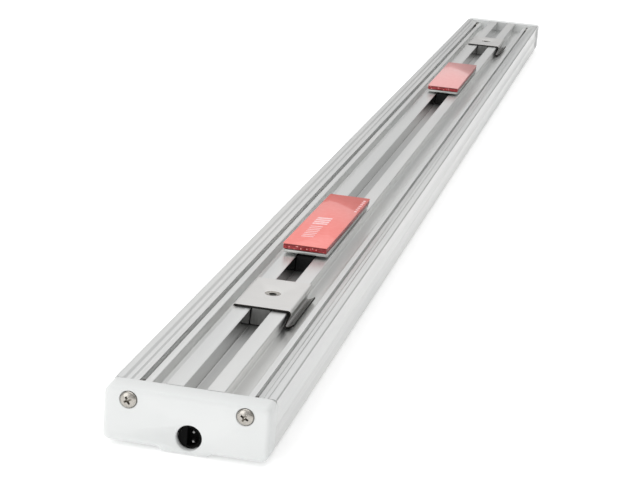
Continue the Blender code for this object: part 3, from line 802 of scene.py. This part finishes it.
def make_end_cap(end):
    """White cap with two counterbored screw seats, and the inlet's mouth in the near one."""
    side = ENDS[end]
    rings = [cap_ring(side * (CAP_BACK + 0.05 * MM), 0.0, 0.05 * MM)]
    rings.append(cap_ring(side * (CAP_BACK + 0.15 * MM), 0.0))
    steps = 10
    for i in range(steps + 1):
        angle = math.radians(90 * i / steps)
        forward = CAP_FACE - CAP_ROUND * (1 - math.sin(angle))
        rings.append(cap_ring(side * forward, 1 - math.cos(angle)))
    cap = lofted("end_cap_" + end + "_body", rings, WHITE)
    for x in (-SCREW_X, SCREW_X):
        hole = turned("hole", [(0, -THROUGH), (SHANK_HOLE, -THROUGH), (SHANK_HOLE, -SEAT_DEPTH),
                               (SEAT_RADIUS, -SEAT_DEPTH), (SEAT_RADIUS, -0.15 * MM),
                               (SEAT_RADIUS + 0.2 * MM, 0.05 * MM),
                               (SEAT_RADIUS + 0.2 * MM, 1 * MM), (0, 1 * MM)], 48)
        cut(cap, turn_to_end(hole, x, side * CAP_FACE, TOP - SCREW_DROP, side))
    if end == "near":
        mouth = turned("mouth", [(0, -THROUGH), (INLET_RADIUS, -THROUGH),
                                 (INLET_RADIUS, -0.5 * MM), (INLET_RADIUS + 0.1 * MM, -0.2 * MM),
                                 (4.8 * MM, 0.1 * MM), (4.8 * MM, 1 * MM), (0, 1 * MM)], 64)
        cut(cap, turn_to_end(mouth, SOCKET_X, -CAP_FACE, SOCKET_Z, -1))
    finish_piece(cap, "bar", "end_cap_" + end, 40)


def make_cap_screw(end, name, x):
    """Pan head with a tapered cross recess over a plain shank."""
    side = ENDS[end]
    profile = [(0, HEAD_HEIGHT)]
    for i in range(1, 9):
        angle = math.radians(90 * i / 9)
        rise = HEAD_EDGE + (HEAD_HEIGHT - HEAD_EDGE) * math.cos(angle)
        profile.append((HEAD_RADIUS * math.sin(angle) ** 1.05, rise))
    tip = -SHANK_LENGTH - 1 * MM
    profile += [(HEAD_RADIUS, HEAD_EDGE), (HEAD_RADIUS, 0.12 * MM), (HEAD_RADIUS - 0.12 * MM, 0)]
    profile += [(SHANK_RADIUS, 0), (SHANK_RADIUS, -SHANK_LENGTH), (SHANK_TIP, tip), (0, tip)]
    screw = turned("cap_screw_" + end + "_" + name + "_body", profile, 48, SCREW_METAL)
    for turn in (0, 90):
        wing = recess_wing()
        degrees = turn + RECESS_TURN[end + "_" + name]
        wing.data.transform(Matrix.Rotation(math.radians(degrees), 4, "Z"))
        cut(screw, wing)
    core = turned("core", [(0, 0.1 * MM), (0.35 * MM, RECESS_LOW), (0.8 * MM, RECESS_HIGH),
                           (0, RECESS_HIGH)], 16)
    cut(screw, core)
    seat = CAP_FACE - SEAT_DEPTH + 0.3 * MM
    turn_to_end(screw, x, side * seat, TOP - SCREW_DROP, side)
    finish_piece(screw, "bar", "cap_screw_" + end + "_" + name, 35)


def recess_wing():
    """One tapered wing pair of a cross recess, from the head's top down."""
    rings = []
    for z, reach, half in ((RECESS_LOW, 0.75 * MM, 0.20 * MM), (RECESS_HIGH, 1.75 * MM, 0.42 * MM)):
        rings.append([(-reach, -half, z), (reach, -half, z), (reach, half, z), (-reach, half, z)])
    return lofted("wing", rings)


# ---- power inlet --------------------------------------------------------------------------
SOCKET_LOW, SOCKET_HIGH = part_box("power_socket_body")
SOCKET_X = (SOCKET_LOW.x + SOCKET_HIGH.x) / 2
SOCKET_Z = (SOCKET_LOW.z + SOCKET_HIGH.z) / 2
SOCKET_RADIUS = 3.95 * MM
SOCKET_DEPTH = 4.6 * MM
WELL_RADIUS, WELL_DEPTH = 3.1 * MM, 3.1 * MM


def make_power_inlet():
    """Black insert with a rounded rim, a keyed half and a well around its two pins."""
    face = SOCKET_LOW.y
    insert = turned("socket_insert", [(0, -SOCKET_DEPTH), (SOCKET_RADIUS, -SOCKET_DEPTH),
                                      (SOCKET_RADIUS, -0.35 * MM),
                                      (SOCKET_RADIUS - 0.1 * MM, -0.1 * MM),
                                      (SOCKET_RADIUS - 0.35 * MM, 0), (0, 0)], 64, BLACK)
    well = turned("well", [(0, -WELL_DEPTH), (WELL_RADIUS, -WELL_DEPTH),
                           (WELL_RADIUS, -0.2 * MM), (3.35 * MM, 0.05 * MM),
                           (3.35 * MM, 1 * MM), (0, 1 * MM)], 48)
    key, reach = -0.9 * MM, 5 * MM
    keep = extruded("keep", [[(key, -reach), (reach, -reach), (reach, reach), (key, reach)]],
                    -6 * MM, 6 * MM)
    keep.data.transform(Matrix.Rotation(math.radians(90), 4, "X"))
    cut(well, keep, "INTERSECT")
    cut(insert, well)
    turn_to_end(insert, SOCKET_X, face, SOCKET_Z, -1)
    finish_piece(insert, "bar", "power_socket_body", 35)
    for name in ("upper", "lower"):
        low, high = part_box("socket_pin_" + name)
        radius = (high.x - low.x) / 2
        length = high.y - low.y
        pin = turned("pin_" + name, [(0, 0), (radius * 0.6, 0), (radius * 0.9, -radius * 0.35),
                                     (radius, -radius * 0.8), (radius, -length), (0, -length)],
                     24, PIN)
        turn_to_end(pin, (low.x + high.x) / 2, low.y, (low.z + high.z) / 2, -1)
        finish_piece(pin, "bar", "socket_pin_" + name, 40)


# ---- clips --------------------------------------------------------------------------------
CLIP_SHEET = 0.6 * MM
CLIP_HOLE, CLIP_SINK = 1.45 * MM, 3.1 * MM     # radii of the bore and the countersink's rim
CLIP_SINK_DEPTH = 0.24 * MM
KEY_HOLE = 1.3 * MM


def make_clip(end):
    """Sheet clip: hook, countersunk plate, flank and release lip, with painted shade and dark
    reflection in darker materials on its edges, underside, flanks and countersink.
    """
    low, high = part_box("mounting_clip_" + end)
    plate = high.z - CLIP_SHEET / 2
    corners = [(-9.15 * MM, TOP - 4.75 * MM, 0), (-10.5 * MM, plate, 0.6 * MM),
               (11.35 * MM, plate, 0.95 * MM), (9.1 * MM, TOP - 5.5 * MM, 0.75 * MM),
               (10.9 * MM, TOP - 5.5 * MM, 1.1 * MM), (12.7 * MM, TOP - 4.3 * MM, 0)]
    path = rounded(corners, closed=False, steps=8)
    clip = extruded("spring_clip_" + end, [thickened(path, CLIP_SHEET)], low.y, high.y, STAINLESS)
    middle = (low.y + high.y) / 2
    rim = [(CLIP_SINK - 0.2 * MM, -0.05 * MM), (CLIP_SINK, -0.015 * MM),
           (CLIP_SINK + 0.1 * MM, 0.0), (CLIP_SINK + 0.1 * MM, 0.1 * MM), (0, 0.1 * MM)]
    bore = [(0, -3 * MM), (CLIP_HOLE, -3 * MM), (CLIP_HOLE, -CLIP_SINK_DEPTH)]
    sink = turned("sink", bore + rim, 64)
    sink.data.transform(Matrix.Translation((0, middle, high.z)))
    cut(clip, sink)
    soften(clip, 0.06 * MM)
    painted_dark_edge_index, clip_shade_index, brushed_shade_index, sink_shade_index = 1, 2, 3, 4
    for surface in (SHEARED_PAINTED_DARK, CLIP_UNDERSIDE_SHADE, BRUSHED_FLANK_SHADE, SCREW_METAL):
        clip.data.materials.append(surface)
    for face in clip.data.polygons:
        x, y, z = face.center
        radius = math.hypot(x, y - middle)
        hook = x < -9.8 * MM and z < TOP
        cut_end = min(abs(y - low.y), abs(y - high.y)) < 0.11 * MM and not hook
        in_bore = radius < CLIP_HOLE + 0.05 * MM and abs(face.normal.z) < 0.3
        underside = face.normal.z < -0.9 and z > TOP
        flank_inside = face.normal.x * x < -0.3 * abs(x) and abs(x) < 11.4 * MM and z < plate
        tip = x > 12.3 * MM and z < TOP
        # cut ends, bore and the lip's tip get the near-black edge: painted dark reflection and shade
        if cut_end or in_bore or tip:
            face.material_index = painted_dark_edge_index
        # underside and inner flanks get the darker stainless: painted shade
        elif underside or flank_inside:
            face.material_index = clip_shade_index
        # the lower flank and lip get the darker stainless: painted shade
        elif x > 0 and z < TOP - 1.5 * MM:
            face.material_index = brushed_shade_index
        # the countersink's cone gets the darker turned metal: partly its machined finish, partly
        # painted shade and dark reflection at its rim
        elif radius < CLIP_SINK and z < high.z - 0.005 * MM and len(face.vertices) <= 4:
            face.material_index = sink_shade_index
    finish_piece(clip, end + "_clip", "mounting_clip_" + end, 14)
    make_clip_key(end, middle)


def make_clip_key(end, middle):
    """Grey key in the slot under a clip, with a blind screw hole below the clip's own; its grey is
    painted shade.
    """
    low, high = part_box("clip_slot_key_" + end)
    half = [(high.x - 0.4 * MM, high.z, 0.25 * MM), (high.x, low.z, 0.4 * MM)]
    key = extruded("clip_key_" + end, [rounded(mirrored(half))], low.y, high.y, CLIP_KEY_SHADE)
    hole = turned("hole", [(0, -5 * MM), (KEY_HOLE, -5 * MM), (KEY_HOLE, -0.3 * MM),
                           (KEY_HOLE + 0.4 * MM, 0.1 * MM), (0, 0.1 * MM)], 32)
    hole.data.transform(Matrix.Translation((0, middle, high.z)))
    cut(key, hole)
    soften(key, 0.15 * MM)
    finish_piece(key, end + "_clip", "clip_slot_key_" + end, 40)


# ---- adhesive pads ------------------------------------------------------------------------
PAD_YAW = {"near": -0.75, "far": 0.0}   # degrees; tape and film are laid on by hand
CARRIER_LIFT = 0.6 * MM        # the plate is thinner than the space its solid takes
PRINT_HEIGHT = 0.02 * MM
FOAM_SEED = {"near": 4, "far": 3}
FOAM_STEPS_Y, FOAM_STEPS_X = 90, 18
FOAM_EDGE = 0.18 * MM          # how far the foam's cut sides may waver
FOAM_LEVELS = (0.0, 0.12, 0.35, 0.65, 0.88, 1.0)


def slab(name, low, high, corner, edge, surface):
    """A flat plate with rounded corners and edges."""
    outline = rounded([(low.x, low.y, corner), (high.x, low.y, corner),
                       (high.x, high.y, corner), (low.x, high.y, corner)], steps=5)
    centre = Vector(((low.x + high.x) / 2, (low.y + high.y) / 2))
    rings = []
    for z, inset in ((low.z, edge), (low.z + edge, 0.0), (high.z - edge, 0.0), (high.z, edge)):
        ring = []
        for x, y in outline:
            towards = centre - Vector((x, y))
            step = Vector((math.copysign(min(inset, abs(towards.x)), towards.x),
                           math.copysign(min(inset, abs(towards.y)), towards.y)))
            ring.append((x + step.x, y + step.y, z))
        rings.append(ring)
    return lofted(name, rings, surface)


def yawed(piece, low, high, degrees):
    """Turn a piece a little about the upright axis through the middle of its box."""
    middle = Vector(((low.x + high.x) / 2, (low.y + high.y) / 2, 0.0))
    piece.data.transform(Matrix.Translation(middle) @ Matrix.Rotation(
        math.radians(degrees), 4, "Z") @ Matrix.Translation(-middle))
    return piece


def make_pad(name):
    """Adhesive pad: carrier plate, foam tape and release film over the key in the slot."""
    body = name + "_pad"
    yaw = PAD_YAW[name]
    low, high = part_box("pad_carrier_" + name)
    low = low + Vector((0.0, 0.0, CARRIER_LIFT))
    plate = slab("carrier_plate_" + name, low, high, 0.6 * MM, 0.15 * MM, PLATE)
    finish_piece(plate, body, "pad_carrier_" + name, 50)
    low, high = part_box("pad_foam_tape_" + name)
    foam = foam_strip("foam_strip_" + name, low, high, FOAM_SEED[name])
    finish_piece(yawed(foam, low, high, yaw), body, "pad_foam_tape_" + name, 50)
    low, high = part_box("pad_release_liner_" + name)
    high = high - Vector((0.0, 0.0, 2 * PRINT_HEIGHT))
    film = slab("release_film_" + name, low, high, 0.4 * MM, 0.06 * MM, FILM[name])
    finish_piece(yawed(film, low, high, yaw), body, "pad_release_liner_" + name, 50)
    # the key under the pad is near-black: painted shade of the slot
    resurface(PAD_KEY_SHADE, "pad_slot_key_" + name)
    if name == "near":
        make_stripe_mark(low, high, body, yaw)


def foam_strip(name, low, high, seed):
    """Foam tape whose cut sides waver slightly, as a knife leaves them."""
    rng = random.Random(seed)
    length, width = high.y - low.y, high.x - low.x
    outline = [(low.x, high.y - length * i / FOAM_STEPS_Y) for i in range(FOAM_STEPS_Y)]
    outline += [(low.x + width * i / FOAM_STEPS_X, low.y) for i in range(FOAM_STEPS_X)]
    outline += [(high.x, low.y + length * i / FOAM_STEPS_Y) for i in range(FOAM_STEPS_Y)]
    outline += [(high.x - width * i / FOAM_STEPS_X, high.y) for i in range(FOAM_STEPS_X)]

    def outward(value, least, most):
        """-1 or 1 on the two cut sides of one axis, and 0 between them."""
        on_side = abs(value - least) < 1e-9 or abs(value - most) < 1e-9
        return (1 if value > (least + most) / 2 else -1) * on_side

    rings = []
    for level in FOAM_LEVELS:
        waist = FOAM_EDGE * (0.35 + 0.65 * math.sin(math.pi * level))
        ring = []
        for x, y in outline:
            push = waist * (0.6 + 0.4 * rng.random()) - FOAM_EDGE
            ring.append((x + push * outward(x, low.x, high.x), y + push * outward(y, low.y, high.y),
                         low.z + (high.z - low.z) * level))
        rings.append(ring)
    return lofted(name, rings, FOAM)


def add_bar(work, corners, z):
    """A thin printed bar from the corners of its outline."""
    add_loft(work, [[(x, y, height) for x, y in corners] for height in (z, z + PRINT_HEIGHT)])


def make_stripe_mark(low, high, body, yaw):
    """Pale slanted bars along the film: a fine group, a bold group and a row at the corner."""
    z = high.z + 0.005 * MM
    work = bmesh.new()
    y, slant = low.y + 13.5 * MM, 1.0 * MM
    for count, pitch, width, length, x in ((7, 2.9 * MM, 1.1 * MM, 5.0 * MM, -2.3 * MM),
                                           (4, 3.3 * MM, 2.1 * MM, 6.2 * MM, -2.0 * MM)):
        left, right = x - length / 2, x + length / 2
        for _ in range(count):
            add_bar(work, [(left, y), (right, y + slant), (right, y + width + slant),
                           (left, y + width)], z)
            y += pitch
        y += 1.5 * MM
    y, side, pitch = high.y - 27 * MM, 1.6 * MM, 3.4 * MM
    left, right = high.x - 2.1 * MM, high.x - 0.8 * MM
    for _ in range(7):
        add_bar(work, [(left, y), (right, y), (right, y + side), (left, y + side)], z)
        y += pitch
    mark = yawed(new_object("stripe_mark", work, PRINT), low, high, yaw)
    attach(mark, body)


# ---- light side ---------------------------------------------------------------------------
LED_COUNT = 24
DISH_DEPTH = 0.35 * MM         # the phosphor's face lies this far inside its package


def make_lens():
    """Opal lens with rounded flanks and the bead that snaps into the housing."""
    side, bead = MOUTH_HALF - 0.3 * MM, MOUTH_HALF + 0.6 * MM
    half = [(7.4 * MM, 0.2 * MM, 0.7 * MM), (side, BASE + 0.1 * MM, 0.3 * MM)]
    half += [(side, BASE + 1.8 * MM, 0.1 * MM), (bead, BASE + 2.2 * MM, 0.2 * MM)]
    half += [(bead, BASE + 2.8 * MM, 0.2 * MM), (side, BASE + 3.4 * MM, 0.1 * MM)]
    half += [(7.5 * MM, BASE + 3.4 * MM, 0.1 * MM), (7.5 * MM, BASE + 0.9 * MM, 0.4 * MM)]
    half += [(6.7 * MM, BASE + 0.2 * MM, 0.3 * MM)]
    outline = rounded(mirrored(half), steps=4)
    lens = extruded("opal_lens", [outline], -HOUSING_HALF, HOUSING_HALF, OPAL)
    finish_piece(lens, "bar", "diffuser_lens", 35)


def make_led(number):
    """A surface-mount package: chamfered white body with a sunken round phosphor face."""
    low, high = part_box("led_%02d" % number)
    middle = ((low.x + high.x) / 2, (low.y + high.y) / 2)
    half = (high.x - low.x) / 2
    rings = []
    for z, inset in ((high.z, 0.0), (low.z + 0.25 * MM, 0.0), (low.z, 0.25 * MM)):
        reach = half - inset
        outline = rounded([(x * reach, y * reach, 0.3 * MM)
                           for x, y in ((-1, -1), (1, -1), (1, 1), (-1, 1))], steps=2)
        rings.append([(middle[0] + x, middle[1] + y, z) for x, y in outline])
    led = lofted("led_package_%02d" % number, rings, BOARD)
    dish = turned("dish", [(0, -1 * MM), (2.1 * MM, -1 * MM), (2.1 * MM, 0),
                           (1.8 * MM, DISH_DEPTH), (0, DISH_DEPTH)], 24)
    dish.data.transform(Matrix.Translation((*middle, low.z)))
    cut(led, dish)
    led.data.materials.append(PHOSPHOR)
    for face in led.data.polygons:
        if face.normal.z < -0.9 and abs(face.center.z - low.z - DISH_DEPTH) < 0.05 * MM:
            face.material_index = 1
    finish_piece(led, "bar", "led_%02d" % number, 40)


def finish_inner_nodes():
    """Finished materials for the nodes that are carried over from the frame as they are."""
    resurface(BOARD, "led_board")
    resurface(GREY_RUBBER, "thermal_tape", "end_gasket_near", "end_gasket_far")
    resurface(RED_SKIN, "lead_positive")
    resurface(BLACK_SKIN, "lead_negative")
    for name in ("lead_positive", "lead_negative"):
        shade(frame["nodes"][name], 50)


make_housing()
for end_name in ENDS:
    make_end_cap(end_name)
    make_cap_screw(end_name, "left", -SCREW_X)
    make_cap_screw(end_name, "right", SCREW_X)
    make_clip(end_name)
    make_pad(end_name)
make_power_inlet()
make_lens()
for led_number in range(1, LED_COUNT + 1):
    make_led(led_number)
finish_inner_nodes()
